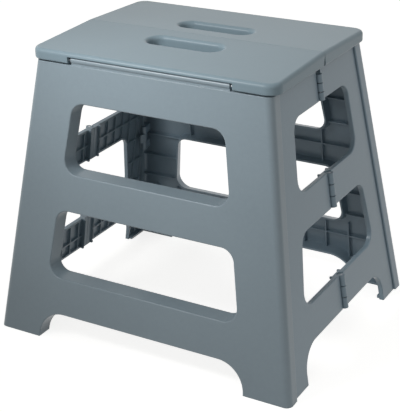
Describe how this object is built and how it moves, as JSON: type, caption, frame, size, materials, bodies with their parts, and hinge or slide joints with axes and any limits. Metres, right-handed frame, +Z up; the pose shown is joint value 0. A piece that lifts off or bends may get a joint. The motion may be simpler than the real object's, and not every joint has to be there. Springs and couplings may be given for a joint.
{
  "type": "folding step stool",
  "caption": "Folding step stool with a hinged two-piece seat with hand slots, windowed long panels and side walls that fold inward at the middle.",
  "frame": {"origin": "on the floor under the middle of the stool", "axes": "+X to the right along the long side, -Y to the front, +Z up"},
  "size_m": [0.4436, 0.37, 0.394],
  "materials": {
    "moulding": "fine satin moulding grain",
    "pin": "drawn steel wire"
  },
  "bodies": {
    "front_panel": {"front_panel": "moulding", "seat_front_rod": "pin", "corner_front_right_pin_top": "pin", "corner_front_right_pin_middle": "pin", "corner_front_right_pin_bottom": "pin", "corner_front_left_pin_top": "pin", "corner_front_left_pin_middle": "pin", "corner_front_left_pin_bottom": "pin"},
    "side_right_front": {"side_right_front": "moulding", "side_right_pin_top": "pin", "side_right_pin_middle": "pin", "side_right_pin_bottom": "pin"},
    "side_right_rear": {"side_right_rear": "moulding"},
    "rear_panel": {"rear_panel": "moulding", "seat_rear_rod": "pin", "corner_rear_right_pin_top": "pin", "corner_rear_right_pin_middle": "pin", "corner_rear_right_pin_bottom": "pin", "corner_rear_left_pin_top": "pin", "corner_rear_left_pin_middle": "pin", "corner_rear_left_pin_bottom": "pin"},
    "side_left_front": {"side_left_front": "moulding", "side_left_pin_top": "pin", "side_left_pin_middle": "pin", "side_left_pin_bottom": "pin"},
    "side_left_rear": {"side_left_rear": "moulding"},
    "seat_front": {"seat_front_half": "moulding", "seat_centre_pin_right": "pin", "seat_centre_pin_left": "pin"},
    "seat_rear": {"seat_rear_half": "moulding"}
  },
  "joints": [
    {"name": "fold", "type": "hinge", "parent": "front_panel", "child": "side_right_front", "pos_m": [0.16454, -0.11845, 0.3], "axis": [-0.1415, 0.1415, 0.9798], "range_deg": [0, 90]},
    {"name": "right_side_fold", "type": "hinge", "parent": "side_right_front", "child": "side_right_rear", "pos_m": [0.17596, 0, 0.3], "axis": [-0.1429, 0, 0.9897], "range_deg": [-177.86, 0]},
    {"name": "rear_panel_fold", "type": "hinge", "parent": "side_right_rear", "child": "rear_panel", "pos_m": [0.16454, 0.11845, 0.3], "axis": [-0.1415, -0.1415, 0.9798], "range_deg": [0, 90]},
    {"name": "left_corner_fold", "type": "hinge", "parent": "front_panel", "child": "side_left_front", "pos_m": [-0.16454, -0.11845, 0.3], "axis": [0.1415, 0.1415, 0.9798], "range_deg": [-90, 0]},
    {"name": "left_side_fold", "type": "hinge", "parent": "side_left_front", "child": "side_left_rear", "pos_m": [-0.17596, 0, 0.3], "axis": [0.1429, 0, 0.9897], "range_deg": [0, 177.86]},
    {"name": "seat_front_fold", "type": "hinge", "parent": "front_panel", "child": "seat_front", "pos_m": [0, -0.127, 0.38], "axis": [1, 0, 0], "range_deg": [0, 69.32]},
    {"name": "seat_rear_fold", "type": "hinge", "parent": "rear_panel", "child": "seat_rear", "pos_m": [0, 0.127, 0.38], "axis": [1, 0, 0], "range_deg": [-69.32, 0]}
  ],
  "couplings": [
    {"joint": "right_side_fold", "follows": "fold", "ratio": -1.974},
    {"joint": "rear_panel_fold", "follows": "fold", "ratio": 1},
    {"joint": "left_corner_fold", "follows": "fold", "ratio": -1},
    {"joint": "left_side_fold", "follows": "fold", "ratio": 1.974},
    {"joint": "seat_front_fold", "follows": "fold", "ratio": 0.768},
    {"joint": "seat_rear_fold", "follows": "fold", "ratio": -0.768}
  ]
}
